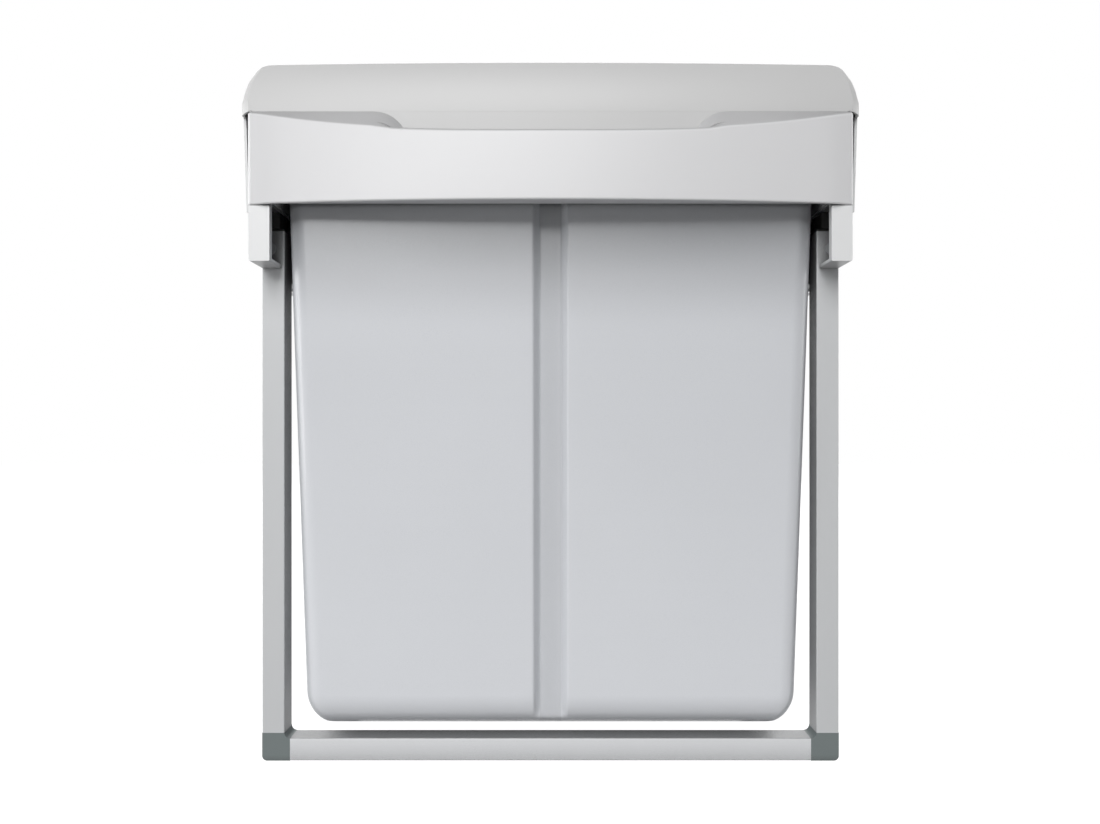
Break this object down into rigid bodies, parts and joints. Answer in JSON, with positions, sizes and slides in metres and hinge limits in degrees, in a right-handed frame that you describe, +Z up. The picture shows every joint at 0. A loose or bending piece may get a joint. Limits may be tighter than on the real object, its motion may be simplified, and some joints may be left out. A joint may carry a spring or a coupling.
{
  "type": "built-in waste bin",
  "caption": "Pull-out waste bin for a base cabinet: floor frame with ball slides, a ring with a recessed grip fascia, a lift-out tapered bin and a hinged lid.",
  "frame": {"origin": "centre of the four floor screw holes, on the cabinet floor", "axes": "+X to the right, +Y to the back of the cabinet, +Z up; the front with the grip faces -Y"},
  "size_m": [0.5434, 0.4376, 0.6205],
  "materials": {
    "frame_tube": "light grey satin powder coat",
    "corner_plastic": "mid grey fine texture",
    "black_plastic": "black fine texture",
    "fastener_steel": "zinc plated",
    "rail_steel": "zinc plated",
    "buffer_rubber": "matte",
    "fascia_plastic": "light grey satin",
    "ring_plastic": "light grey satin",
    "lid_plastic": "light grey satin",
    "bin_plastic": "cool light grey satin"
  },
  "bodies": {
    "frame": {"carrier_left": "black_plastic", "carrier_right": "black_plastic", "carrier_screws": "fastener_steel", "front_corner_left": "corner_plastic", "front_corner_right": "corner_plastic", "front_floor_bar": "frame_tube", "front_floor_tab_left": "frame_tube", "front_floor_tab_right": "frame_tube", "front_leg_left": "frame_tube", "front_leg_plug_left": "black_plastic", "front_leg_plug_right": "black_plastic", "front_leg_right": "frame_tube", "outer_rail_left": "rail_steel", "outer_rail_right": "rail_steel", "rail_rivets": "fastener_steel", "rear_corner_left": "corner_plastic", "rear_corner_right": "corner_plastic", "rear_cross_bar": "frame_tube", "rear_floor_bar": "frame_tube", "rear_floor_tab_left": "frame_tube", "rear_floor_tab_right": "frame_tube", "rear_leg_left": "frame_tube", "rear_leg_plug_left": "black_plastic", "rear_leg_plug_right": "black_plastic", "rear_leg_right": "frame_tube", "side_bar_left": "frame_tube", "side_bar_right": "frame_tube", "stop_buffer_left": "buffer_rubber", "stop_buffer_right": "buffer_rubber"},
    "carriage": {"bracket_screws": "fastener_steel", "fascia": "fascia_plastic", "fascia_screws": "fastener_steel", "front_bracket_left": "fascia_plastic", "front_bracket_right": "fascia_plastic", "hanger_left": "rail_steel", "hanger_right": "rail_steel", "hanger_rivets": "fastener_steel", "hanger_screws": "fastener_steel", "inner_rail_left": "rail_steel", "inner_rail_right": "rail_steel", "rail_cap_left": "black_plastic", "rail_cap_right": "black_plastic", "ring": "ring_plastic"},
    "bin": {"bin": "bin_plastic", "lid_hinge_pins": "fastener_steel"},
    "lid": {"lid": "lid_plastic"},
    "middle_rail_left": {"middle_rail_left": "rail_steel"},
    "outer_ball_cage_left": {"outer_ball_cage_left": "rail_steel"},
    "inner_ball_cage_left": {"inner_ball_cage_left": "rail_steel"},
    "middle_rail_right": {"middle_rail_right": "rail_steel"},
    "outer_ball_cage_right": {"outer_ball_cage_right": "rail_steel"},
    "inner_ball_cage_right": {"inner_ball_cage_right": "rail_steel"}
  },
  "joints": [
    {"name": "carriage_slide", "type": "slide", "parent": "frame", "child": "carriage", "axis": [0, -1, 0], "range_m": [0, 0.36]},
    {"name": "middle_rail_left_slide", "type": "slide", "parent": "frame", "child": "middle_rail_left", "axis": [0, -1, 0], "range_m": [0, 0.18]},
    {"name": "outer_ball_cage_left_slide", "type": "slide", "parent": "frame", "child": "outer_ball_cage_left", "axis": [0, -1, 0], "range_m": [0, 0.09]},
    {"name": "inner_ball_cage_left_slide", "type": "slide", "parent": "frame", "child": "inner_ball_cage_left", "axis": [0, -1, 0], "range_m": [0, 0.27]},
    {"name": "middle_rail_right_slide", "type": "slide", "parent": "frame", "child": "middle_rail_right", "axis": [0, -1, 0], "range_m": [0, 0.18]},
    {"name": "outer_ball_cage_right_slide", "type": "slide", "parent": "frame", "child": "outer_ball_cage_right", "axis": [0, -1, 0], "range_m": [0, 0.09]},
    {"name": "inner_ball_cage_right_slide", "type": "slide", "parent": "frame", "child": "inner_ball_cage_right", "axis": [0, -1, 0], "range_m": [0, 0.27]},
    {"name": "bin_lift", "type": "slide", "parent": "carriage", "child": "bin", "axis": [0, 0, 1], "range_m": [0, 0.55]},
    {"name": "lid_hinge", "type": "hinge", "parent": "bin", "child": "lid", "pos_m": [0, 0.1915, 0.577], "axis": [-1, 0, 0], "range_deg": [0, 80]}
  ],
  "couplings": [
    {"joint": "middle_rail_left_slide", "follows": "carriage_slide", "ratio": 0.5},
    {"joint": "outer_ball_cage_left_slide", "follows": "carriage_slide", "ratio": 0.25},
    {"joint": "inner_ball_cage_left_slide", "follows": "carriage_slide", "ratio": 0.75},
    {"joint": "middle_rail_right_slide", "follows": "carriage_slide", "ratio": 0.5},
    {"joint": "outer_ball_cage_right_slide", "follows": "carriage_slide", "ratio": 0.25},
    {"joint": "inner_ball_cage_right_slide", "follows": "carriage_slide", "ratio": 0.75}
  ]
}
